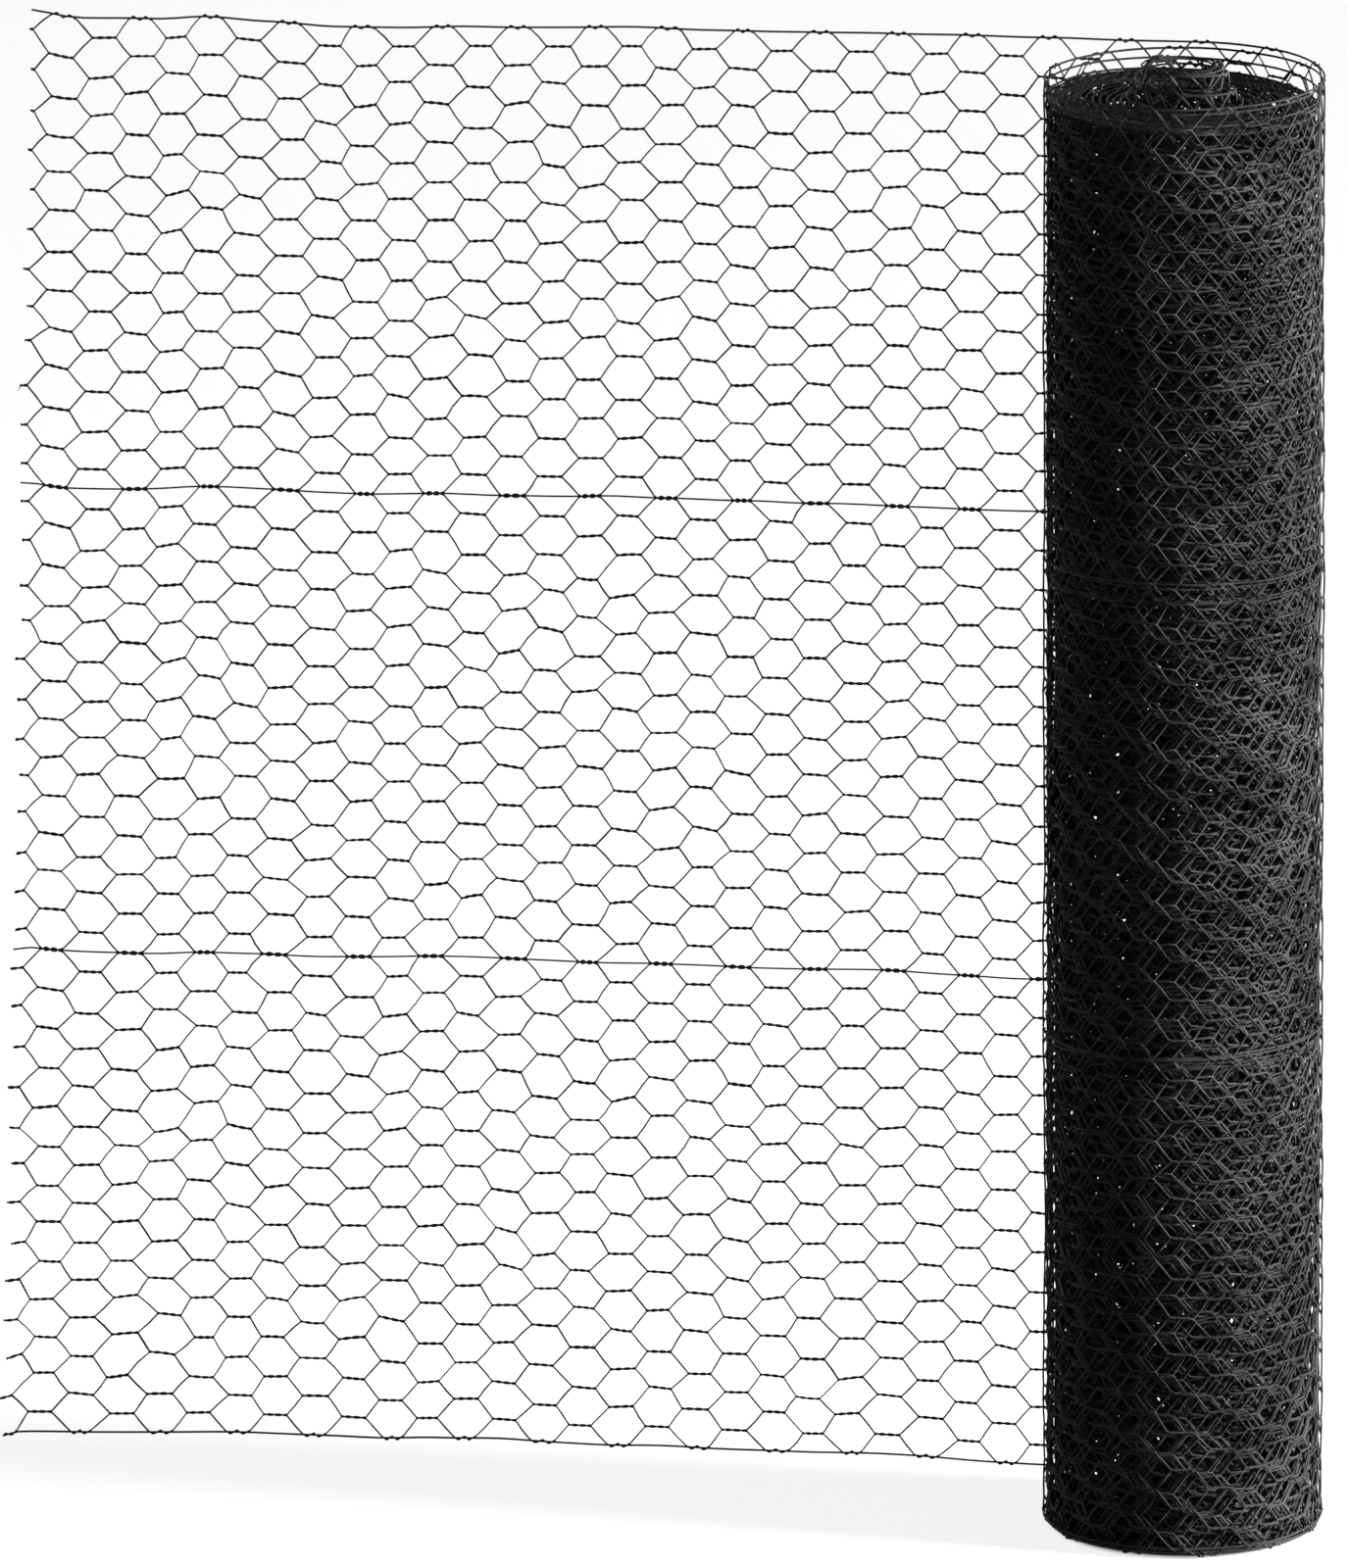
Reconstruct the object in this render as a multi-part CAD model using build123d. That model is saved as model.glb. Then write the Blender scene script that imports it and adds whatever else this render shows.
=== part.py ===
from build123d import *
import math
import os

# A roll of hexagonal wire netting that stands on its end, with a stretch of netting paid out.
# Millimetres. Z is up, the roll's axis is Z and the floor is Z = 0.
# The netting leaves the back of the roll at X = 0 and runs along -X, standing on its edge.

# Netting
mesh_size = 25.0  # between two twists, one above the other
twist_length = 15.0
diagonal_run = 8.75  # what a diagonal wire covers along the netting
wire_diameter = 1.1  # over the plastic coating; two wires lie side by side in a twist
selvedge_diameter = 2.0  # the edge cord, a straight wire with the last mesh wire laid round it
rows_lower = 12.5  # rows of mesh between the lower selvedge and the lower line wire
rows_middle = 12.0
rows_upper = 12.0

# Roll
core_diameter = 28.0
turns = 26
turn_gap = 0.61  # between the wires of one turn and those of the next
groove_depth = 4.0  # how deep the gaps between the turns show in the ends
raised_turns = 3  # the innermost turns stand out of the top end
core_rise = 9.0

# Paid-out netting
first_column = 21.8  # from where the netting leaves the roll to the first whole column of twists
columns = 30  # whole columns of twists
end_stub = 6.0  # the free end is cut this far into the next column's twists, at half height
lower_stagger = 9.0  # the roll's turns reach this far below the netting's lower edge
upper_drop = 5.5  # and end this far below its upper edge
mesh_lean = 15.5  # the outermost mesh's lower end is this much further out than its upper end
end_slant = 7.5  # and the free end is cut at a slant that adds this much to its lean

# Worked out from the values above
netting_thickness = 2 * wire_diameter
turn_pitch = netting_thickness + turn_gap
column_pitch = twist_length + diagonal_run
flap_length = first_column + columns * column_pitch - twist_length / 2 + end_stub
lower_edge = lower_stagger + selvedge_diameter / 2  # centre of the lower selvedge
lower_line = lower_edge + rows_lower * mesh_size
upper_line = lower_line + rows_middle * mesh_size
upper_edge = upper_line + rows_upper * mesh_size
roll_height = upper_edge + selvedge_diameter / 2 - upper_drop
core_radius = core_diameter / 2
roll_radius = core_radius + turns * turn_pitch
flap_front = roll_radius - netting_thickness  # the netting's back is flush with the outer turn


def half_turns(first_turn, last_turn, inset):
    """The spiral, clockwise from the back, as half circles about two centres that meet smoothly."""
    arcs = []
    for turn in range(first_turn, last_turn):
        right_radius = roll_radius - (turn + 0.25) * turn_pitch - inset
        left_radius = roll_radius - (turn + 0.75) * turn_pitch - inset
        arcs.append(CenterArc((0, turn_pitch / 4), right_radius, 90, -180).edge())
        arcs.append(CenterArc((0, -turn_pitch / 4), left_radius, -90, -180).edge())
    return arcs


def closed_by_line(edges):
    """A face bounded by a chain of edges and the straight line that closes it."""
    closing = Line(edges[-1] @ 1, edges[0] @ 0).edge()
    return Face(Wire(edges + [closing]))


def coil_outline(first_turn, grow=0.0):
    """The end view of the roll from one turn inwards, with the step where that turn starts."""
    return closed_by_line(half_turns(first_turn, first_turn + 1, -grow))


def gap_strip():
    """The end view of the gap between the turns, one strip that winds inwards."""
    last_turn = turns - 2
    outer = half_turns(0, last_turn, netting_thickness)
    inner = half_turns(1, last_turn + 1, 0.0)
    start = Line(inner[0] @ 0, outer[0] @ 0).edge()
    end = Line(outer[-1] @ 1, inner[-1] @ 1).edge()
    return Face(Wire([start] + outer + [end] + inner[::-1]))


def make_roll():
    """The wound netting: one solid with its bore, whose turns show as a spiral in both ends."""
    wound = extrude(coil_outline(0), amount=roll_height, dir=(0, 0, 1))
    raised_core = coil_outline(turns - raised_turns, grow=turn_gap / 2)
    wound += extrude(raised_core, amount=roll_height + core_rise, dir=(0, 0, 1))
    wound -= extrude(gap_strip(), amount=groove_depth, dir=(0, 0, 1))
    upper_gap = Pos(0, 0, roll_height - groove_depth) * gap_strip()
    wound -= extrude(upper_gap, amount=2 * (groove_depth + core_rise), dir=(0, 0, 1))
    bore = Cylinder(core_radius, 2 * (roll_height + core_rise))
    return wound - bore


def on_flap(x, z):
    """A point of the netting's front face, leaned over more and more towards the free end."""
    out = -x / flap_length
    up = (z - lower_edge) / (upper_edge - lower_edge)
    return Vector(x + mesh_lean * out * (up - 0.5), flap_front, z)


def free_end(z):
    """Where the free end is cut at one height, on the netting as it is before it leans."""
    up = (z - lower_edge) / (upper_edge - lower_edge)
    return -flap_length + end_slant * (up - 0.5)


def mesh_opening(x, z):
    """The clear opening of one mesh, with a twist above and below and two diagonals each side."""
    slope = math.hypot(diagonal_run, mesh_size / 2)
    side = wire_diameter / 2 * slope / (mesh_size / 2)  # half a diagonal wire, measured along X
    point = twist_length / 2 + diagonal_run - side
    rise = mesh_size / 2 - netting_thickness / 2
    shoulder = point - rise * diagonal_run / (mesh_size / 2)
    upper_half = [(point, 0), (shoulder, rise), (-shoulder, rise)]
    lower_half = [(-dx, -dz) for dx, dz in upper_half]
    return [(x + dx, z + dz) for dx, dz in upper_half + lower_half]


def mesh_openings(low, high):
    """The openings that reach into one band of the netting, column by column."""
    found = []
    for column in range(-1, columns + 1):
        x = -(first_column + column * column_pitch)
        offset = 0.5 * (column % 2)  # every other column is half a mesh lower
        first = math.floor((upper_edge - high) / mesh_size) - 1
        last = math.ceil((upper_edge - low) / mesh_size) + 1
        for row in range(first, last + 1):
            found.append(mesh_opening(x, upper_edge - (row + offset) * mesh_size))
    return found


def polygon(points):
    """A closed outline on the netting's front face."""
    return Wire.make_polygon([on_flap(x, z) for x, z in points], close=True)


def side_view(low, high):
    """The outline of the netting between two heights."""
    return polygon([(free_end(low), low), (0, low), (0, high), (free_end(high), high)])


def make_band(low, high):
    """The mesh between two straight wires: bars fused where they meet, open at the free end."""
    whole = []
    cut = []
    for corners in mesh_openings(low, high):
        left = min(x for x, z in corners)
        right = max(x for x, z in corners)
        bottom = min(z for x, z in corners)
        top = max(z for x, z in corners)
        if left > -flap_length + end_slant and right < 0 and bottom > low and top < high:
            whole.append(polygon(corners))
        elif right > -flap_length - end_slant and left < 0 and top > low and bottom < high:
            cut.append(polygon(corners))
    sheet = Face(side_view(low, high), whole) - [Face(opening) for opening in cut]
    return extrude(sheet, amount=netting_thickness, dir=(0, 1, 0))


def make_straight_wire(centre, diameter):
    """A straight wire that runs the length of the netting, with a square section."""
    side = Face(side_view(centre - diameter / 2, centre + diameter / 2))
    return extrude(side, amount=netting_thickness, dir=(0, 1, 0))


selvedge_half = selvedge_diameter / 2
line_half = wire_diameter / 2
pieces = {
    "netting_roll": make_roll(),
    "mesh_lower": make_band(lower_edge + selvedge_half, lower_line - line_half),
    "mesh_middle": make_band(lower_line + line_half, upper_line - line_half),
    "mesh_upper": make_band(upper_line + line_half, upper_edge - selvedge_half),
    "selvedge_lower": make_straight_wire(lower_edge, selvedge_diameter),
    "selvedge_upper": make_straight_wire(upper_edge, selvedge_diameter),
    "line_wire_lower": make_straight_wire(lower_line, wire_diameter),
    "line_wire_upper": make_straight_wire(upper_line, wire_diameter),
}

os.makedirs("parts", exist_ok=True)
for name, piece in pieces.items():
    export_step(piece, f"parts/{name}.step")
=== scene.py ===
"""A roll of black hexagonal wire netting on its end, with a stretch paid out from its back.

One mesh of each kind is modelled with the mesh tools and copied with arrays into flat netting. The
flat netting is then laid along the roll's spiral, and out along the flap, the stretch that is paid
out. X runs along the flat netting: zero is where it leaves the roll, above zero it is wound up and
below zero it is on the flap. Z is the height above the floor. Metres throughout.
"""

import math

import bpy
import numpy as np
from bpy.props import FloatProperty, FloatVectorProperty, IntProperty, PointerProperty
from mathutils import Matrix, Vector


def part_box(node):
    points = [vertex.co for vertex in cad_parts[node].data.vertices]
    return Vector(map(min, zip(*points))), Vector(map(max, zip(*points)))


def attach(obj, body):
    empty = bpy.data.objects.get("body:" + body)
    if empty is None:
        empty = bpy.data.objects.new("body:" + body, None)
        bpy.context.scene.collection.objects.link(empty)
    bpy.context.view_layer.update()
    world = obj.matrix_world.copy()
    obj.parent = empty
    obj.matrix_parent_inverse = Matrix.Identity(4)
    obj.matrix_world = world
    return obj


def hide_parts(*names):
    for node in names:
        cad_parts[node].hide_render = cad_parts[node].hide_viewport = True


bl_info = {
    "name": "Wire netting roll",
    "version": (1, 0, 0),
    "blender": (4, 5, 0),
    "location": "3D View > Sidebar > Netting",
    "description": "Builds a roll of hexagonal wire netting with a stretch paid out",
    "category": "Add Mesh",
}

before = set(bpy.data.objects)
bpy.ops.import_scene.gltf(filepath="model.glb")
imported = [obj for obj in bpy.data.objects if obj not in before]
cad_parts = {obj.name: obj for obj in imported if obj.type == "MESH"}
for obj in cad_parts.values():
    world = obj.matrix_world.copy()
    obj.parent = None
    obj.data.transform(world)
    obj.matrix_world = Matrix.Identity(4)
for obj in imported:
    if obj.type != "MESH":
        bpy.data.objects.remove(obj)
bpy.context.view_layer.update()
BODY = "root"


def wire_height(node):
    """The height of a straight wire's centre line."""
    low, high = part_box(node)
    return (low.z + high.z) / 2


# The roll, the straight wires and the flap, as the frame has them.
ROLL_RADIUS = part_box("netting_roll")[1].y
NETTING_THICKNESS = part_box("mesh_middle")[1].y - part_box("mesh_middle")[0].y
NETTING_MIDDLE = ROLL_RADIUS - NETTING_THICKNESS / 2
UPPER_EDGE = wire_height("selvedge_upper")
UPPER_LINE = wire_height("line_wire_upper")
LOWER_LINE = wire_height("line_wire_lower")
LOWER_EDGE = wire_height("selvedge_lower")
FREE_UPPER = -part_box("selvedge_upper")[0].x
FREE_LOWER = -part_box("selvedge_lower")[0].x
FLAP_LENGTH = (FREE_UPPER + FREE_LOWER) / 2

# The free end leans because it is cut at a slant and because the mesh itself leans there.
END_SLANT = 0.0075
MESH_LEAN = FREE_LOWER - FREE_UPPER - END_SLANT


class NettingSettings(bpy.types.PropertyGroup):
    """Sizes of the netting and of the roll that it is wound into."""

    mesh_size: FloatProperty(
        name="Mesh size", description="Between two twists, one above the other",
        default=0.025, min=0.01, unit="LENGTH", subtype="DISTANCE")
    twist_length: FloatProperty(
        name="Twist length",
        description="Length of the stretch where two wires are twisted together",
        default=0.015, min=0.002, unit="LENGTH", subtype="DISTANCE")
    column_pitch: FloatProperty(
        name="Column pitch", description="From one column of twists to the next, along the netting",
        default=0.02375, min=0.01, unit="LENGTH", subtype="DISTANCE")
    wire_diameter: FloatProperty(
        name="Wire diameter", description="Thickness of a mesh wire over its coating",
        default=0.0011, min=0.0003, unit="LENGTH", subtype="DISTANCE")
    core_diameter: FloatProperty(
        name="Steel diameter", description="Thickness of the steel wire inside the coating",
        default=0.00085, min=0.0002, unit="LENGTH", subtype="DISTANCE")
    selvedge_diameter: FloatProperty(
        name="Selvedge diameter", description="Thickness of the straight wire along each edge",
        default=0.0013, min=0.0003, unit="LENGTH", subtype="DISTANCE")
    first_column: FloatProperty(
        name="First column",
        description="From where the netting leaves the roll to the first column of twists",
        default=0.0218, unit="LENGTH", subtype="DISTANCE")
    flap_columns: IntProperty(
        name="Flap columns", description="Whole columns of twists in the stretch that is paid out",
        default=30, min=1)
    turns: IntProperty(
        name="Turns", description="Turns of netting in the roll", default=26, min=16)
    core_radius: FloatProperty(
        name="Core radius", description="Radius of the hollow in the middle of the roll",
        default=0.014, unit="LENGTH", subtype="DISTANCE")


class FinishSettings(bpy.types.PropertyGroup):
    """Colours of the coating, of the steel in it and of the floor."""

    coating: FloatVectorProperty(
        name="Coating", description="Colour of the plastic coating",
        subtype="COLOR", size=3, default=(0.036, 0.036, 0.038), min=0.0, max=1.0)
    scuffed: FloatVectorProperty(
        name="Scuffed coating", description="Colour of the coating where it is dusty or rubbed",
        subtype="COLOR", size=3, default=(0.2, 0.198, 0.195), min=0.0, max=1.0)
    steel: FloatVectorProperty(
        name="Steel", description="Colour of the galvanised steel in the cut ends",
        subtype="COLOR", size=3, default=(0.56, 0.57, 0.58), min=0.0, max=1.0)
    floor: FloatVectorProperty(
        name="Floor", description="Colour of the floor",
        subtype="COLOR", size=3, default=(0.93, 0.93, 0.93), min=0.0, max=1.0)


def netting():
    """The sizes as they are set."""
    return bpy.context.scene.netting_sizes


def finish():
    """The colours as they are set."""
    return bpy.context.scene.netting_finish


# Helpers for modelling

MERGE_DISTANCE = 2e-5


def clear_selection():
    if bpy.context.object and bpy.context.object.mode != "OBJECT":
        bpy.ops.object.mode_set(mode="OBJECT")
    bpy.ops.object.select_all(action="DESELECT")


def select_only(*objects):
    clear_selection()
    for o in objects:
        o.select_set(True)
    bpy.context.view_layer.objects.active = objects[0]


def edit_all(piece):
    """Opens a piece in edit mode, with all of it selected."""
    select_only(piece)
    bpy.ops.object.mode_set(mode="EDIT")
    bpy.ops.mesh.select_all(action="SELECT")


def leave_edit():
    bpy.ops.object.mode_set(mode="OBJECT")


def array_of(piece, count, step):
    """Repeats a piece in a row, all in its own mesh."""
    modifier = piece.modifiers.new("Row", "ARRAY")
    modifier.use_relative_offset = False
    modifier.use_constant_offset = True
    modifier.constant_offset_displace = step
    modifier.count = count
    select_only(piece)
    bpy.ops.object.modifier_apply(modifier=modifier.name)


def copy_of(piece, name):
    copied = piece.copy()
    copied.data = piece.data.copy()
    copied.name = name
    bpy.context.scene.collection.objects.link(copied)
    return copied


def move(piece, offset):
    select_only(piece)
    piece.location = offset
    bpy.ops.object.transform_apply(location=True, rotation=False, scale=False)


def joined(parts, name):
    """Several parts as one, with the rings of two parts that meet made one ring."""
    select_only(*parts)
    bpy.ops.object.join()
    whole = bpy.context.object
    whole.name = name
    whole.data.name = name
    edit_all(whole)
    bpy.ops.mesh.remove_doubles(threshold=MERGE_DISTANCE)
    leave_edit()
    return whole


# One mesh of each kind

PAIR_HALF_TURNS = 3
EDGE_HALF_TURNS = 4
EDGE_EXTRA_STEPS = 3
LEAST_LEAN = 1e-6

# Sides of a wire, steps in a twist, and how much thicker the wire is drawn where it lies deep.
FLAP_DETAIL = (6, 7, 1.0)
OUTER_DETAIL = (4, 4, 1.0)
SHALLOW_DETAIL = (3, 2, 1.35)
DEEP_DETAIL = (3, 1, 1.65)
CORE_DETAIL = (3, 1, 1.6)


def ring_radius(diameter, sides):
    """The radius of a ring with few sides that looks as wide as the round wire it stands for."""
    return diameter / 2 * math.pi / (sides * math.sin(math.pi / sides))


def start_wire(diameter, sides, place, lean=0.0):
    """The first ring of a wire along X, or leaning from it, selected for extruding."""
    clear_selection()
    bpy.ops.mesh.primitive_circle_add(
        vertices=sides, radius=ring_radius(diameter, sides), fill_type="NOTHING",
        location=place, rotation=(0, math.pi / 2 + lean, 0))
    wire = bpy.context.object
    bpy.ops.object.transform_apply(location=True, rotation=True, scale=True)
    edit_all(wire)
    return wire


def extrude_to(start, end):
    step = [b - a for a, b in zip(start, end)]
    bpy.ops.mesh.extrude_region_move(
        TRANSFORM_OT_translate={"value": step, "orient_type": "GLOBAL"})


def turn_selected(angle, axis, centre):
    bpy.ops.transform.rotate(
        value=angle, orient_axis=axis, orient_type="GLOBAL", center_override=centre)


def model_strand(path, leans, diameter, sides):
    """A wire through a list of points: a ring at the first, extruded to each next one."""
    strand = start_wire(diameter, sides, path[0], leans[0])
    for i in range(1, len(path)):
        extrude_to(path[i - 1], path[i])
        change = leans[i] - leans[i - 1]
        if abs(change) > LEAST_LEAN:
            turn_selected(-change, "Y", path[i])
    leave_edit()
    return strand


def twist_path(wrap_radius, steps, half_turns, ends):
    """A wire from the middle of one diagonal, round a twist, to the middle of the next diagonal.

    The twist runs along X. Each of the two ends is +1 where it is above the twist, and -1 below.
    """
    n = netting()
    half_twist = n.twist_length / 2
    half_pitch = n.column_pitch / 2
    quarter_mesh = n.mesh_size / 4
    first, last = ends
    start = math.pi / 2 * first
    points = [(-half_pitch, 0.0, quarter_mesh * first)]
    for i in range(steps + 1):
        t = i / steps
        angle = start + math.pi * half_turns * t
        x = -half_twist + n.twist_length * t
        points.append((x, wrap_radius * math.cos(angle), wrap_radius * math.sin(angle)))
    points.append((half_pitch, 0.0, quarter_mesh * last))
    slope = math.atan2(quarter_mesh - wrap_radius, half_pitch - half_twist)
    leans = [slope * first, slope * first / 2]
    leans += [0.0] * (steps - 1)
    leans += [-slope * last / 2, -slope * last]
    return points, leans


def model_mesh(name, diameter, wrap_radius, sides, steps):
    """Two wires that cross in a twist, each as far as the middle of its diagonals."""
    path, leans = twist_path(wrap_radius, steps, PAIR_HALF_TURNS, (1, -1))
    strand = model_strand(path, leans, diameter, sides)
    strand.name = name
    edit_all(strand)
    bpy.ops.mesh.duplicate()
    turn_selected(math.pi, "X", (0, 0, 0))
    leave_edit()
    return strand


def model_edge_mesh(name, diameter, wrap_radius, sides, steps, edge):
    """One wire that goes round a selvedge, the upper one for +1 and the lower one for -1."""
    path, leans = twist_path(
        wrap_radius, steps + EDGE_EXTRA_STEPS, EDGE_HALF_TURNS, (-edge, -edge))
    strand = model_strand(path, leans, diameter, sides)
    strand.name = name
    return strand


def model_kinds(sides, steps, thickness):
    """The kinds of mesh that the netting has, at one level of detail."""
    n = netting()
    wire = n.wire_diameter * thickness
    beside_selvedge = (wire + n.selvedge_diameter) / 2
    return {
        "plain": model_mesh("plain_mesh", wire, wire / 2, sides, steps),
        "on_line": model_mesh("line_mesh", wire, wire, sides, steps),
        "upper": model_edge_mesh("upper_edge_mesh", wire, beside_selvedge, sides, steps, 1),
        "lower": model_edge_mesh("lower_edge_mesh", wire, beside_selvedge, sides, steps, -1),
    }


def remove_kinds(kinds):
    for piece in kinds.values():
        bpy.data.objects.remove(piece)


# Flat netting

def column_x(column):
    """Where a column of twists is. They count from 0 out along the flap, below 0 into the roll."""
    n = netting()
    return -(n.first_column + column * n.column_pitch)


def rows_down_to(height):
    """Rows of mesh from the upper selvedge down to a height."""
    return round((UPPER_EDGE - height) / netting().mesh_size, 1)


def upright_rows(odd):
    """(kind, first row, count) down a column. Every other column is half a mesh lower."""
    total = rows_down_to(LOWER_EDGE)
    if not odd:
        return [("plain", 0.5, int(total)), ("lower", total, 1)]
    upper_line = round(rows_down_to(UPPER_LINE))
    lower_line = round(rows_down_to(LOWER_LINE))
    return [
        ("upper", 0, 1),
        ("plain", 1, upper_line - 1),
        ("on_line", upper_line, 1),
        ("plain", upper_line + 1, lower_line - upper_line - 1),
        ("on_line", lower_line, 1),
        ("plain", lower_line + 1, int(total) - lower_line),
    ]


def flat_netting(name, kinds, first, last, row_from=0, row_to=math.inf):
    """Flat netting from column first to column last, outwards, over the rows asked for."""
    n = netting()
    parts = []
    for odd in (0, 1):
        columns = [c for c in range(first, last + 1) if c % 2 == odd]
        if not columns:
            continue
        for kind, row, count in upright_rows(odd):
            rows = [row + i for i in range(count) if row_from <= row + i < row_to]
            if not rows:
                continue
            part = copy_of(kinds[kind], "part")
            if len(rows) > 1:
                array_of(part, len(rows), (0, 0, -n.mesh_size))
            if len(columns) > 1:
                array_of(part, len(columns), (-2 * n.column_pitch, 0, 0))
            move(part, (column_x(columns[0]), 0, UPPER_EDGE - rows[0] * n.mesh_size))
            parts.append(part)
    return joined(parts, name)


def straight_wire(name, height, diameter, end, piece_length, sides):
    """A straight wire from X = 0 to an end, in short lengths so that it can follow the netting."""
    count = max(1, round(abs(end) / piece_length))
    step = end / count
    wire = start_wire(diameter, sides, (0, 0, height))
    extrude_to((0, 0, height), (step, 0, height))
    leave_edit()
    array_of(wire, count, (step, 0, 0))
    return joined([wire], name)


# Smooth curves and unevenness

class Waves:
    """Smooth unevenness over flat netting, as a sum of waves with a fixed seed."""

    def __init__(self, seed, size, shortest, longest, count=9):
        rng = np.random.default_rng(seed)
        length = rng.uniform(shortest, longest, count)
        heading = rng.uniform(0, 2 * math.pi, count)
        self.along = 2 * math.pi * np.cos(heading) / length
        self.up = 2 * math.pi * np.sin(heading) / length
        self.phase = rng.uniform(0, 2 * math.pi, count)
        self.size = size * math.sqrt(2 / count)

    def at(self, x, z):
        total = np.zeros_like(x)
        for along, up, phase in zip(self.along, self.up, self.phase):
            total += np.sin(along * x + up * z + phase)
        return self.size * total


def smooth(t):
    """0 to 1 with level ends."""
    t = np.clip(t, 0, 1)
    return t * t * (3 - 2 * t)


def along_points(x, points):
    """A smooth curve through (place, value) points, level at each."""
    places = np.array([place for place, value in points])
    values = np.array([value for place, value in points])
    i = np.clip(np.searchsorted(places, x) - 1, 0, len(points) - 2)
    t = smooth((x - places[i]) / (places[i + 1] - places[i]))
    return values[i] + (values[i + 1] - values[i]) * t


def height_share(z):
    """0 at the lower selvedge and 1 at the upper one."""
    return (z - LOWER_EDGE) / (UPPER_EDGE - LOWER_EDGE)


# Seed, size, shortest and longest wave of each kind of unevenness.
SIDEWAYS_SWAY = Waves(11, 0.0010, 0.05, 0.16)
UPRIGHT_SWAY = Waves(12, 0.0009, 0.05, 0.16)
MESH_SHAPE_ALONG = Waves(13, 0.0004, 0.026, 0.05)
MESH_SHAPE_UP = Waves(14, 0.0004, 0.026, 0.05)
FLAP_SWELL = Waves(15, 0.0022, 0.22, 0.6)
FLAP_RIPPLE = Waves(16, 0.0006, 0.05, 0.12)
TURN_RIPPLE = Waves(17, 0.00035, 0.05, 0.2)
TURN_SHIFT = Waves(18, 0.0022, 0.25, 0.7)

# The mesh is less uneven in the roll than on the flap, and the straight wires hold it.
UNEVEN_ON_ROLL, UNEVEN_ADDED, UNEVEN_OVER = 0.8, 0.5, 0.4
FREEDOM_AT_WIRE, HELD_WITHIN = 0.15, 0.05


def freedom(z):
    """How freely the mesh can shift up and down at a height, least at the straight wires."""
    wires = (UPPER_EDGE, UPPER_LINE, LOWER_LINE, LOWER_EDGE)
    nearest = np.min([np.abs(z - wire) for wire in wires], axis=0)
    return FREEDOM_AT_WIRE + (1 - FREEDOM_AT_WIRE) * smooth(nearest / HELD_WITHIN)


# Laying netting on the flap

# Where the edges of the flap stand above or below straight lines, by X on the flat netting.
UPPER_EDGE_SHAPE = (
    (-0.74, 0.006), (-0.70, 0.001), (-0.65, 0.001), (-0.62, 0.003), (-0.58, 0.001),
    (-0.54, -0.001), (-0.45, 0.0), (-0.36, 0.002), (-0.28, 0.001), (-0.2, 0.0018),
    (-0.1, 0.001), (0.0, 0.0),
)
LOWER_EDGE_SHAPE = (
    (-0.738, 0.003), (-0.722, 0.0065), (-0.66, 0.0072), (-0.6, 0.0085), (-0.52, 0.0082),
    (-0.44, 0.0098), (-0.37, 0.008), (-0.32, 0.008), (-0.27, 0.0055), (-0.2, 0.005),
    (-0.1, 0.0008), (0.0, -0.001),
)
SWELL_OVER = 0.12

# The lower corner of the free end is pulled outwards.
CORNER_PULL, CORNER_FROM, CORNER_OVER, CORNER_SHARE = 0.003, 0.6, 0.13, 0.08

# X, height and radius of each dent, its depth and how its mesh is drawn out of shape.
DENT_PLACES = ((-0.405, 0.53, 0.06), (-0.61, 0.41, 0.07))
DENT_DEPTH = 0.006
DENT_PUCKER, PUCKER_SIDEWAYS, PUCKER_UPRIGHT = 0.0035, 3, 4


def dent(x, z, centre, radius):
    """1 in the middle of a round dent and 0 outside it."""
    distance = np.hypot(x - centre[0], z - centre[1]) / radius
    return smooth(1 - distance)


def free_end(z):
    """Where the free end is cut at one height, on the flat netting."""
    return -FLAP_LENGTH + END_SLANT * (height_share(z) - 0.5)


def lay_on_flap(x, y, z):
    up = height_share(z)
    upper, lower = along_points(x, UPPER_EDGE_SHAPE), along_points(x, LOWER_EDGE_SHAPE)
    swell = FLAP_SWELL.at(x, z) + FLAP_RIPPLE.at(x, z)
    placed_x = x + MESH_LEAN * (-x / FLAP_LENGTH) * (up - 0.5)
    pull = CORNER_PULL * smooth(-(x + CORNER_FROM) / CORNER_OVER)
    placed_x -= pull * smooth(1 - up / CORNER_SHARE)
    placed_z = z + (upper * up + lower * (1 - up))
    for place_x, place_z, radius in DENT_PLACES:
        strength = dent(x, z, (place_x, place_z), radius)
        swell -= DENT_DEPTH * strength
        placed_x += DENT_PUCKER * strength * np.sin((z - place_z) / radius * PUCKER_SIDEWAYS)
        placed_z += DENT_PUCKER * strength * np.cos((x - place_x) / radius * PUCKER_UPRIGHT)
    return placed_x, NETTING_MIDDLE + y + swell * smooth(-x / SWELL_OVER), placed_z


# Laying netting on the roll

# The outer turns lie tighter than the ones further in, and the outermost stands off a little.
OUTER_TURNS, OUTER_PITCH = 4, 0.0010
MIDDLE_TURNS, MIDDLE_PITCH = 11, 0.0017
LOOSE_OUTER_TURN, LOOSE_UNTIL, LOOSE_OVER = 0.0003, 0.5, 0.1

# How far each half turn stands above its place: the outer ones as listed, then at random between
# two limits, and the last ones raised.
OUTER_RISES = (0.0, -0.0025, -0.0035, -0.0050, -0.0060, -0.0065)
STAGGER_LOW, STAGGER_HIGH = -0.0072, -0.0056
STAGGER_SEED = 21
RISING_HALF_TURNS = 4
RAISED_HALF_TURNS = 5
CORE_RISE = 0.0165

# The wound netting is narrower than the flap, by less on the side that the flap is on.
NARROWING, TOP_TILT = 0.0115, 0.003
NARROWING_FROM, NARROWING_OVER = 0.6, 1.3

# The roll's upper end is shifted to the side that the flap is on.
ROLL_LEAN, LEAN_OVER = 0.003, 0.15

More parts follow.
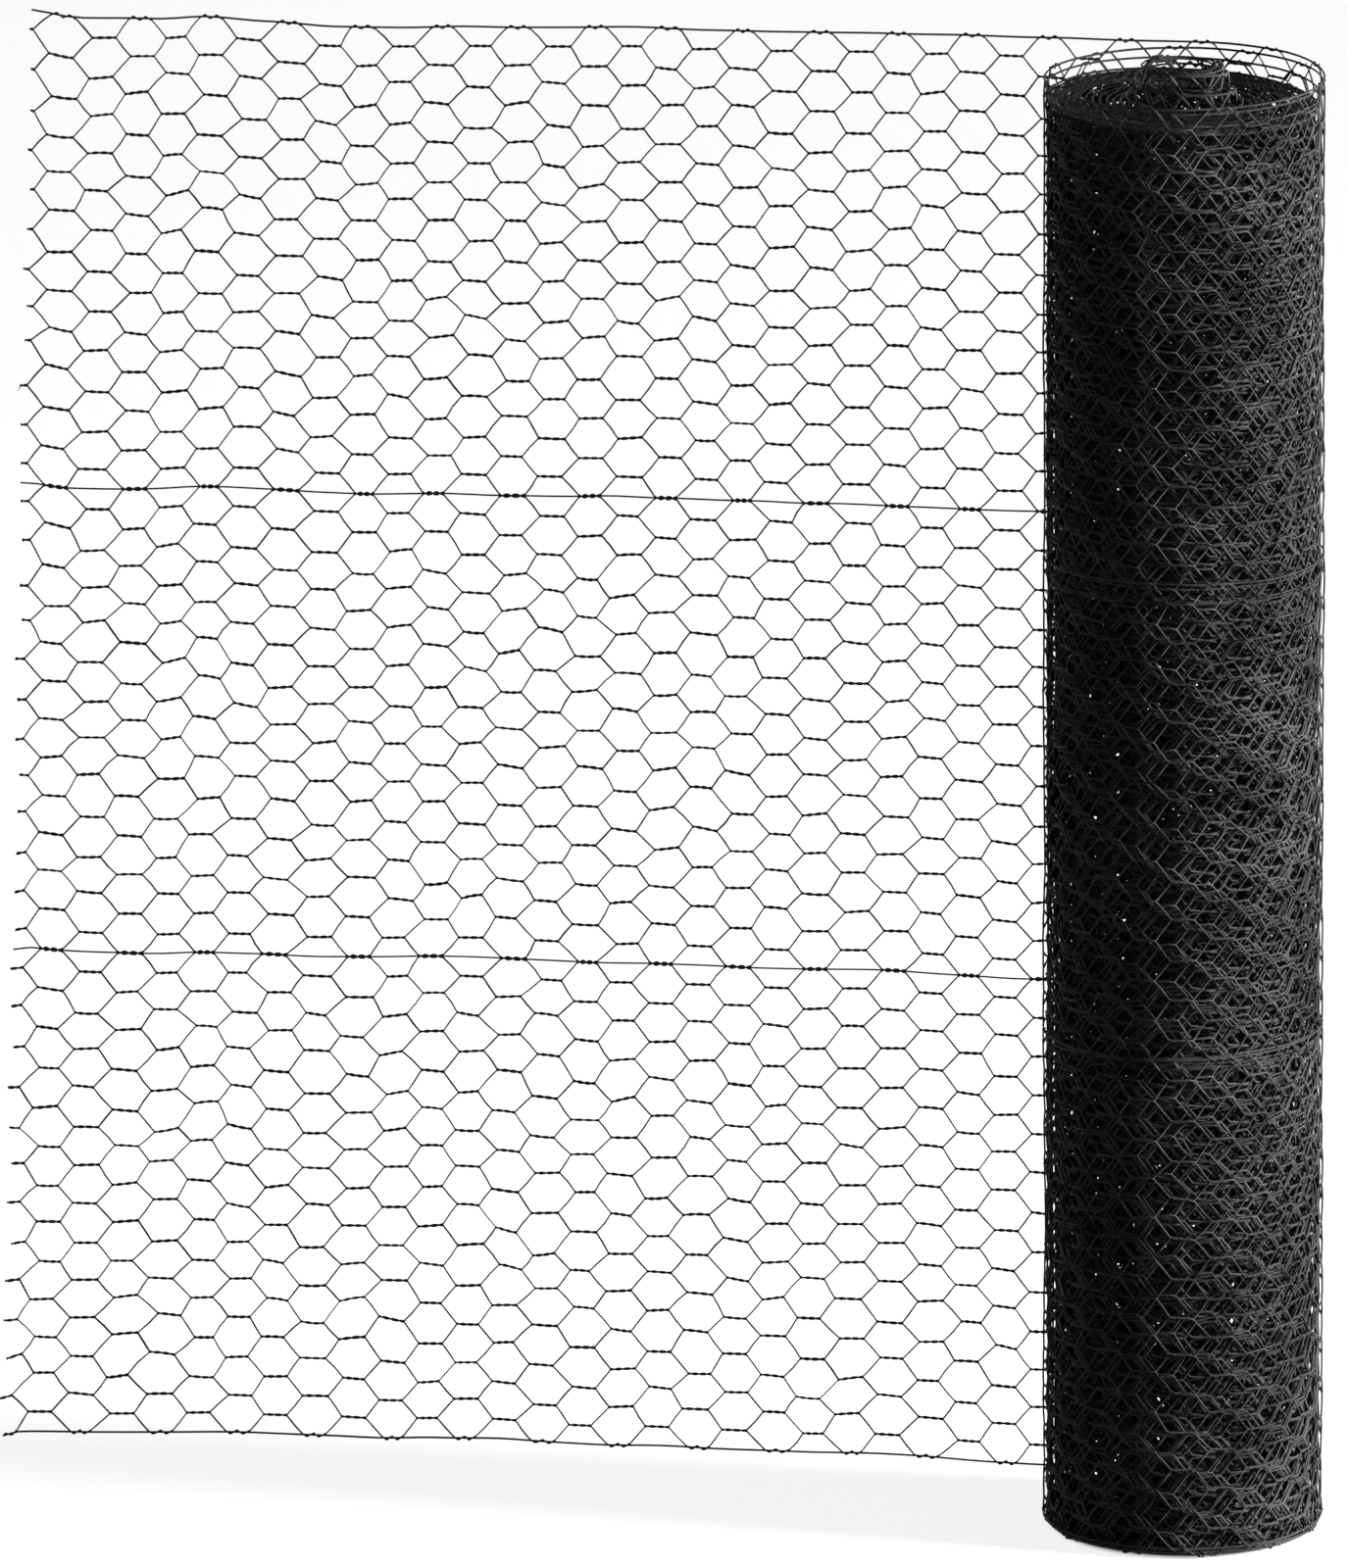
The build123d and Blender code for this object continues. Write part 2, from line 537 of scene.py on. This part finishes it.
# Lengths along the netting, and in from its edges, over which other changes come in.
RIPPLE_OVER = 0.05
LOWER_EDGE_OVER = 0.1
SHIFT_OVER, SHIFT_FROM_EDGES = 0.3, 0.12


def spiral_arcs():
    """The spiral as half circles: their radii, their centres' Y and where each starts along it."""
    n = netting()
    turn = np.arange(2 * n.turns) / 2
    outer_end = NETTING_MIDDLE - OUTER_TURNS * OUTER_PITCH
    middle_end = outer_end - MIDDLE_TURNS * MIDDLE_PITCH
    out = np.interp(
        turn, (0, OUTER_TURNS, OUTER_TURNS + MIDDLE_TURNS, n.turns),
        (NETTING_MIDDLE, outer_end, middle_end, n.core_radius + NETTING_THICKNESS))
    radius = (out[:-1] + out[1:]) / 2
    centre = (out[:-1] - out[1:]) / 2 * np.where(np.arange(len(radius)) % 2 == 0, 1, -1)
    start = np.concatenate([[0.0], np.cumsum(math.pi * radius)])
    return radius, centre, start


def length_of_turns(turns):
    """How much netting the outer turns take, up to all of it."""
    start = spiral_arcs()[2]
    return start[min(2 * turns, len(start) - 1)]


def stagger(x):
    """How far the wound netting stands above its place, by X on the flat netting."""
    start = spiral_arcs()[2]
    rng = np.random.default_rng(STAGGER_SEED)
    rise = rng.uniform(STAGGER_LOW, STAGGER_HIGH, len(start))
    rise[:len(OUTER_RISES)] = OUTER_RISES
    raised = len(rise) - RAISED_HALF_TURNS
    rise[raised:] = CORE_RISE
    rise[raised - RISING_HALF_TURNS:raised] = np.linspace(
        STAGGER_HIGH, CORE_RISE, RISING_HALF_TURNS, endpoint=False)
    return along_points(x, list(zip(start, rise)))


def lay_on_roll(x, y, z):
    radius, centre, start = spiral_arcs()
    i = np.clip(np.searchsorted(start, x, side="right") - 1, 0, len(radius) - 1)
    angle = (x - start[i]) / radius[i]
    side = np.where(i % 2 == 0, 1.0, -1.0)
    up = height_share(z)
    loose = LOOSE_OUTER_TURN * smooth(x / LOOSE_OVER) * smooth((LOOSE_UNTIL - x) / LOOSE_OVER)
    out = radius[i] + y + loose + TURN_RIPPLE.at(x, z) * smooth(x / RIPPLE_OVER)
    placed_x = side * out * np.sin(angle)
    lower_edge_shift = LOWER_EDGE_SHAPE[-1][1] * (1 - up) * smooth(1 - x / LOWER_EDGE_OVER)
    narrowing = NARROWING + TOP_TILT * placed_x / ROLL_RADIUS
    narrower = narrowing * up * smooth((x - NARROWING_FROM) / NARROWING_OVER)
    from_edges = np.minimum(UPPER_EDGE - z, z - LOWER_EDGE)
    shift = TURN_SHIFT.at(x, z) * smooth(from_edges / SHIFT_FROM_EDGES) * smooth(x / SHIFT_OVER)
    placed_z = z + stagger(x) - narrower + lower_edge_shift + shift
    placed_x -= ROLL_LEAN * up * smooth(x / LEAN_OVER)
    return placed_x, centre[i] + side * out * np.cos(angle), placed_z


def lay(piece):
    """Moves flat netting to its place, on the flap for X below zero and on the roll above it."""
    mesh = piece.data
    flat = np.empty(len(mesh.vertices) * 3, np.float32)
    mesh.vertices.foreach_get("co", flat)
    x, y, z = flat.reshape(-1, 3).astype(float).T
    uneven = UNEVEN_ON_ROLL + UNEVEN_ADDED * smooth(-x / UNEVEN_OVER)
    x, z = (
        x + (SIDEWAYS_SWAY.at(x, z) + MESH_SHAPE_ALONG.at(x, z)) * uneven,
        z + (UPRIGHT_SWAY.at(x, z) + MESH_SHAPE_UP.at(x, z)) * uneven * freedom(z),
    )
    wound = x >= 0
    placed = np.empty((3, len(x)))
    placed[:, wound] = lay_on_roll(x[wound], y[wound], z[wound])
    placed[:, ~wound] = lay_on_flap(x[~wound], y[~wound], z[~wound])
    mesh.vertices.foreach_set("co", placed.T.astype(np.float32).ravel())
    mesh.update()


# Finishing the pieces

CUT_TOLERANCE = 1e-5
FACING_OUT = -0.99


def close_up(piece):
    """Closes the open ends of wires and turns every face outwards."""
    edit_all(piece)
    bpy.ops.mesh.fill_holes(sides=0)
    bpy.ops.mesh.select_all(action="SELECT")
    bpy.ops.mesh.normals_make_consistent(inside=False)
    leave_edit()


def cut_free_end(piece):
    """Cuts flat netting or a straight wire at the free end and closes the cut wires."""
    edit_all(piece)
    slant = (free_end(UPPER_EDGE) - free_end(LOWER_EDGE)) / (UPPER_EDGE - LOWER_EDGE)
    bpy.ops.mesh.bisect(
        plane_co=(free_end(0), 0, 0), plane_no=(1, 0, -slant), use_fill=True, clear_inner=True)
    leave_edit()


def bare_cut_ends(piece):
    """Insets the cut faces of the free end by the coating, with the steel's material inside."""
    n = netting()
    piece.data.materials.append(steel_material())
    select_only(piece)
    bpy.ops.object.mode_set(mode="EDIT")
    bpy.ops.mesh.select_all(action="DESELECT")
    leave_edit()
    for polygon in piece.data.polygons:
        at_end = polygon.center.x < free_end(polygon.center.z) + CUT_TOLERANCE
        polygon.select = at_end and polygon.normal.x < FACING_OUT
    bpy.ops.object.mode_set(mode="EDIT")
    bpy.ops.mesh.select_mode(type="FACE")
    bpy.ops.mesh.inset(thickness=(n.wire_diameter - n.core_diameter) / 2, use_individual=True)
    piece.active_material_index = 1
    bpy.ops.object.material_slot_assign()
    bpy.ops.mesh.select_mode(type="VERT")
    leave_edit()


def finish_piece(piece, *nodes, smooth_angle=None):
    """Shades a piece, and says what it rides on and the nodes that it stands for."""
    select_only(piece)
    if smooth_angle:
        bpy.ops.object.shade_smooth_by_angle(angle=smooth_angle)
    else:
        bpy.ops.object.shade_smooth()
    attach(piece, BODY)
    if nodes:
        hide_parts(*nodes)


# Materials

# Scale of each pattern, and its depth and strength where it is a relief.
PATCH_SCALE, SPECK_SCALE = 22.0, 420.0
DIP_SCALE, DIP_DEPTH, DIP_STRENGTH = 1500.0, 0.00006, 0.35
STEEL_GRAIN_SCALE = 3000.0
FLOOR_GRAIN_SCALE, FLOOR_GRAIN_DEPTH, FLOOR_GRAIN_STRENGTH = 400.0, 0.0001, 0.1

# A pattern's values from one to another, and what they become.
DUST_RANGE = (0.35, 0.65, 0.1, 0.6)
RUB_RANGE = (0.6, 0.72, 0.0, 0.7)
COATING_ROUGHNESS = (0.3, 0.7, 0.4, 0.6)
STEEL_ROUGHNESS = (0.3, 0.7, 0.3, 0.5)

COATING_SPECULAR = 0.05
DARK_STEEL = 0.6
FLOOR_ROUGHNESS = 0.9
FLOOR_SPECULAR = 0.1
FLOOR_WHITE = 0.86
FLOOR_BOUNCE = 0.1
# Painted shade under the roll: the floor's white is gone from this far inside the roll's rim
# inwards, and whole from this far inside it outwards.
PAINTED_SHADE_INSIDE, WHITE_OUTSIDE = 0.016, 0.005


def new_material(name):
    material = bpy.data.materials.new(name)
    material.use_nodes = True
    nodes, links = material.node_tree.nodes, material.node_tree.links
    place = nodes.new("ShaderNodeTexCoord").outputs["Object"]
    return material, nodes, links, nodes["Principled BSDF"], place


def add_noise(nodes, links, coordinates, scale, detail=3.0):
    noise = nodes.new("ShaderNodeTexNoise")
    noise.inputs["Scale"].default_value = scale
    noise.inputs["Detail"].default_value = detail
    links.new(coordinates, noise.inputs["Vector"])
    return noise.outputs["Fac"]


def add_range(nodes, links, value, from_low, from_high, to_low, to_high):
    limits = nodes.new("ShaderNodeMapRange")
    limits.inputs["From Min"].default_value = from_low
    limits.inputs["From Max"].default_value = from_high
    limits.inputs["To Min"].default_value = to_low
    limits.inputs["To Max"].default_value = to_high
    links.new(value, limits.inputs["Value"])
    return limits.outputs["Result"]


def add_math(nodes, links, operation, first, second):
    combined = nodes.new("ShaderNodeMath")
    combined.operation = operation
    links.new(first, combined.inputs[0])
    links.new(second, combined.inputs[1])
    return combined.outputs[0]


def add_mix(nodes, links, share, at_zero, at_one):
    """A colour between two colours."""
    mix = nodes.new("ShaderNodeMix")
    mix.data_type = "RGBA"
    mix.inputs["A"].default_value = (*at_zero, 1)
    mix.inputs["B"].default_value = (*at_one, 1)
    links.new(share, mix.inputs["Factor"])
    return mix.outputs["Result"]


def add_bump(nodes, links, height, distance, strength, surface):
    bump = nodes.new("ShaderNodeBump")
    bump.inputs["Strength"].default_value = strength
    bump.inputs["Distance"].default_value = distance
    links.new(height, bump.inputs["Height"])
    links.new(bump.outputs["Normal"], surface.inputs["Normal"])


def coating_material():
    """Satin black plastic, dusty and rubbed in places, with the faint waves of a dipped coat."""
    name = "Black plastic coating"
    if name in bpy.data.materials:
        return bpy.data.materials[name]
    material, nodes, links, surface, place = new_material(name)
    patches = add_noise(nodes, links, place, PATCH_SCALE)
    specks = add_noise(nodes, links, place, SPECK_SCALE, detail=2.0)
    dips = add_noise(nodes, links, place, DIP_SCALE, detail=2.0)
    dusty = add_range(nodes, links, patches, *DUST_RANGE)
    rubbed = add_range(nodes, links, specks, *RUB_RANGE)
    worn = add_math(nodes, links, "MAXIMUM", dusty, rubbed)
    colour = add_mix(nodes, links, worn, finish().coating, finish().scuffed)
    roughness = add_range(nodes, links, patches, *COATING_ROUGHNESS)
    links.new(colour, surface.inputs["Base Color"])
    links.new(roughness, surface.inputs["Roughness"])
    surface.inputs["Specular IOR Level"].default_value = COATING_SPECULAR
    add_bump(nodes, links, dips, DIP_DEPTH, DIP_STRENGTH, surface)
    return material


def steel_material():
    """Galvanised steel wire, as its cut ends show it."""
    name = "Galvanised steel"
    if name in bpy.data.materials:
        return bpy.data.materials[name]
    material, nodes, links, surface, place = new_material(name)
    grain = add_noise(nodes, links, place, STEEL_GRAIN_SCALE)
    dark_steel = [DARK_STEEL * c for c in finish().steel]
    colour = add_mix(nodes, links, grain, finish().steel, dark_steel)
    roughness = add_range(nodes, links, grain, *STEEL_ROUGHNESS)
    links.new(colour, surface.inputs["Base Color"])
    links.new(roughness, surface.inputs["Roughness"])
    surface.inputs["Metallic"].default_value = 1.0
    return material


def seen_directly(nodes, links):
    """1 for what the camera sees, also in a reflection or through something clear."""
    path = nodes.new("ShaderNodeLightPath")
    seen = path.outputs["Is Camera Ray"]
    for kind in ("Is Glossy Ray", "Is Transmission Ray"):
        seen = add_math(nodes, links, "MAXIMUM", seen, path.outputs[kind])
    return seen


def floor_material():
    """A plain pale floor that looks white and keeps the shadows, with painted shade inside the
    roll's footprint, where its white is left out.
    """
    material, nodes, links, surface, place = new_material("Pale floor")
    seen = seen_directly(nodes, links)
    bounced = [FLOOR_BOUNCE * c for c in finish().floor]
    colour = add_mix(nodes, links, seen, bounced, finish().floor)
    links.new(colour, surface.inputs["Base Color"])
    surface.inputs["Roughness"].default_value = FLOOR_ROUGHNESS
    surface.inputs["Specular IOR Level"].default_value = FLOOR_SPECULAR
    grain = add_noise(nodes, links, place, FLOOR_GRAIN_SCALE)
    add_bump(nodes, links, grain, FLOOR_GRAIN_DEPTH, FLOOR_GRAIN_STRENGTH, surface)
    # The floor's white fades out inside the roll's footprint, which paints shade on the floor under
    # the roll.
    from_axis = nodes.new("ShaderNodeVectorMath")
    from_axis.operation = "LENGTH"
    links.new(place, from_axis.inputs[0])
    white_share_with_painted_shade = add_range(
        nodes, links, from_axis.outputs["Value"],
        ROLL_RADIUS - PAINTED_SHADE_INSIDE, ROLL_RADIUS - WHITE_OUTSIDE, 0, FLOOR_WHITE)
    white = nodes.new("ShaderNodeEmission")
    links.new(add_math(nodes, links, "MULTIPLY", seen, white_share_with_painted_shade), white.inputs["Strength"])
    added = nodes.new("ShaderNodeAddShader")
    links.new(surface.outputs[0], added.inputs[0])
    links.new(white.outputs[0], added.inputs[1])
    links.new(added.outputs[0], nodes["Material Output"].inputs["Surface"])
    return material


# The pieces

SMOOTH_ANGLE = math.radians(75)
STRAIGHT_PIECE, STRAIGHT_SIDES = 0.010, 8
WOUND_STRAIGHT_PIECE, WOUND_STRAIGHT_SIDES = 0.009, 4


class NETTING_OT_flap(bpy.types.Operator):
    """The mesh of the netting that is paid out, in three bands between the straight wires"""

    bl_idname = "netting.flap"
    bl_label = "Paid-out mesh"

    def execute(self, context):
        kinds = model_kinds(*FLAP_DETAIL)
        upper_line, lower_line = rows_down_to(UPPER_LINE), rows_down_to(LOWER_LINE)
        bands = (
            ("flap_mesh_upper", 0, upper_line, "mesh_upper"),
            ("flap_mesh_middle", upper_line, lower_line, "mesh_middle"),
            ("flap_mesh_lower", lower_line, math.inf, "mesh_lower"),
        )
        for name, row_from, row_to, node in bands:
            band = flat_netting(name, kinds, 0, netting().flap_columns, row_from, row_to)
            cut_free_end(band)
            close_up(band)
            band.data.materials.append(coating_material())
            bare_cut_ends(band)
            lay(band)
            finish_piece(band, node, smooth_angle=SMOOTH_ANGLE)
        remove_kinds(kinds)
        return {"FINISHED"}


class NETTING_OT_straight_wires(bpy.types.Operator):
    """The selvedge wires and the line wires, along the flap and on through the roll"""

    bl_idname = "netting.straight_wires"
    bl_label = "Straight wires"

    def execute(self, context):
        n = netting()
        wires = (
            ("selvedge_upper", UPPER_EDGE, n.selvedge_diameter),
            ("selvedge_lower", LOWER_EDGE, n.selvedge_diameter),
            ("line_wire_upper", UPPER_LINE, n.wire_diameter),
            ("line_wire_lower", LOWER_LINE, n.wire_diameter),
        )
        wound_end = length_of_turns(n.turns)
        for node, height, diameter in wires:
            wire = straight_wire(
                node + "_round", height, diameter, free_end(height), STRAIGHT_PIECE, STRAIGHT_SIDES)
            close_up(wire)
            wire.data.materials.append(coating_material())
            bare_cut_ends(wire)
            lay(wire)
            finish_piece(wire, node, smooth_angle=SMOOTH_ANGLE)
            wound = straight_wire(
                node + "_wound", height, diameter, wound_end,
                WOUND_STRAIGHT_PIECE, WOUND_STRAIGHT_SIDES)
            close_up(wound)
            wound.data.materials.append(coating_material())
            lay(wound)
            finish_piece(wound)
        return {"FINISHED"}


def columns_within(turns):
    """How many columns of twists the outer turns hold."""
    n = netting()
    return math.floor((length_of_turns(turns) + n.first_column) / n.column_pitch)


def wind(name, first_turn, last_turn, detail, *nodes):
    """The mesh of the roll from one turn to another, both included, counted from 1 outside."""
    kinds = model_kinds(*detail)
    first, last = columns_within(first_turn - 1) + 1, columns_within(last_turn)
    turns = flat_netting(name, kinds, -last, -first)
    remove_kinds(kinds)
    close_up(turns)
    turns.data.materials.append(coating_material())
    lay(turns)
    finish_piece(turns, *nodes)


class NETTING_OT_outer_turns(bpy.types.Operator):
    """The mesh of the roll's two outer turns, which show best"""

    bl_idname = "netting.outer_turns"
    bl_label = "Outer turns"

    def execute(self, context):
        wind("outer_turn", 1, 1, OUTER_DETAIL, "netting_roll")
        wind("second_turn", 2, 2, OUTER_DETAIL)
        return {"FINISHED"}


class NETTING_OT_inner_turns(bpy.types.Operator):
    """The mesh of the turns further in, with fewer sides as they show less"""

    bl_idname = "netting.inner_turns"
    bl_label = "Inner turns"

    def execute(self, context):
        wind("third_to_fifth_turn", 3, 5, SHALLOW_DETAIL)
        wind("sixth_to_tenth_turn", 6, 10, DEEP_DETAIL)
        wind("eleventh_to_fifteenth_turn", 11, 15, DEEP_DETAIL)
        wind("core_turns", 16, netting().turns, CORE_DETAIL)
        return {"FINISHED"}


# Floor, lights and camera

FLOOR_SIDES, FLOOR_RADIUS = 64, 30
WORLD_LIGHT = 0.02

# Name, place, what it is aimed at, width and power of each light.
LIGHTS = (
    ("Key", (3.3, -0.45, 0.95), (0, 0, 0.45), 1.0, 215),
    ("Fill", (-1.0, -3.5, 2.5), (-0.3, 0, 0.3), 2.0, 3),
)

CAMERA_AZIMUTH = math.radians(5.2)
CAMERA_ELEVATION = math.radians(14.5)
CAMERA_DISTANCE = 20.0
CAMERA_SEES_TO = 100
AIM_HEIGHT = 0.4732
AIM_LEFT = 0.3154
VIEW_HEIGHT = 0.9662
SENSOR = 36.0


class NETTING_OT_stage(bpy.types.Operator):
    """The floor, the lights and the camera"""

    bl_idname = "netting.stage"
    bl_label = "Floor, lights and camera"

    def execute(self, context):
        self.add_floor()
        self.add_world()
        for light in LIGHTS:
            self.add_light(*light)
        self.add_camera()
        context.scene.view_settings.view_transform = "Standard"
        return {"FINISHED"}

    def add_floor(self):
        clear_selection()
        bpy.ops.mesh.primitive_circle_add(
            vertices=FLOOR_SIDES, radius=FLOOR_RADIUS, fill_type="NGON", location=(0, 0, 0))
        floor = bpy.context.object
        floor.name = "floor"
        floor.data.materials.append(floor_material())

    def add_world(self):
        """A white surround for the camera and shiny surfaces, and a soft light on all else."""
        world = bpy.data.worlds.new("Studio")
        bpy.context.scene.world = world
        world.use_nodes = True
        nodes, links = world.node_tree.nodes, world.node_tree.links
        background = nodes["Background"]
        background.inputs["Color"].default_value = (1, 1, 1, 1)
        strength = add_range(nodes, links, seen_directly(nodes, links), 0, 1, WORLD_LIGHT, 1)
        links.new(strength, background.inputs["Strength"])

    def add_light(self, name, place, aim, width, power):
        bpy.ops.object.light_add(type="AREA", location=place)
        lamp = bpy.context.object
        lamp.name = name
        lamp.data.shape = "DISK"
        lamp.data.size = width
        lamp.data.energy = power
        direction = [b - a for a, b in zip(place, aim)]
        lamp.rotation_euler = Vector(direction).to_track_quat("-Z", "Y").to_euler()

    def add_camera(self):
        right = Vector((math.cos(CAMERA_AZIMUTH), math.sin(CAMERA_AZIMUTH), 0))
        back = Vector((
            math.sin(CAMERA_AZIMUTH) * math.cos(CAMERA_ELEVATION),
            -math.cos(CAMERA_AZIMUTH) * math.cos(CAMERA_ELEVATION),
            math.sin(CAMERA_ELEVATION),
        ))
        aim = Vector((0, 0, AIM_HEIGHT)) - right * AIM_LEFT
        bpy.ops.object.camera_add(location=aim + back * CAMERA_DISTANCE)
        camera = bpy.context.object
        camera.rotation_euler = back.to_track_quat("Z", "Y").to_euler()
        camera.data.sensor_width = SENSOR
        camera.data.lens = SENSOR * CAMERA_DISTANCE / VIEW_HEIGHT
        camera.data.clip_end = CAMERA_SEES_TO
        bpy.context.scene.camera = camera


class NETTING_PT_panel(bpy.types.Panel):
    """The sizes and colours, and a button for each piece"""

    bl_idname = "NETTING_PT_panel"
    bl_label = "Wire netting roll"
    bl_space_type = "VIEW_3D"
    bl_region_type = "UI"
    bl_category = "Netting"

    def draw(self, context):
        column = self.layout.column()
        for settings in (context.scene.netting_sizes, context.scene.netting_finish):
            for name in settings.bl_rna.properties.keys():
                if name not in ("rna_type", "name"):
                    column.prop(settings, name)
        for operator in OPERATORS:
            column.operator(operator.bl_idname)


OPERATORS = (
    NETTING_OT_flap,
    NETTING_OT_straight_wires,
    NETTING_OT_outer_turns,
    NETTING_OT_inner_turns,
    NETTING_OT_stage,
)
CLASSES = (NettingSettings, FinishSettings, *OPERATORS, NETTING_PT_panel)


def register():
    for made in CLASSES:
        bpy.utils.register_class(made)
    bpy.types.Scene.netting_sizes = PointerProperty(type=NettingSettings)
    bpy.types.Scene.netting_finish = PointerProperty(type=FinishSettings)


def unregister():
    del bpy.types.Scene.netting_finish
    del bpy.types.Scene.netting_sizes
    for made in reversed(CLASSES):
        bpy.utils.unregister_class(made)


def main():
    register()
    bpy.ops.netting.flap()
    bpy.ops.netting.straight_wires()
    bpy.ops.netting.outer_turns()
    bpy.ops.netting.inner_turns()
    bpy.ops.netting.stage()


if __name__ == "__main__":
    main()
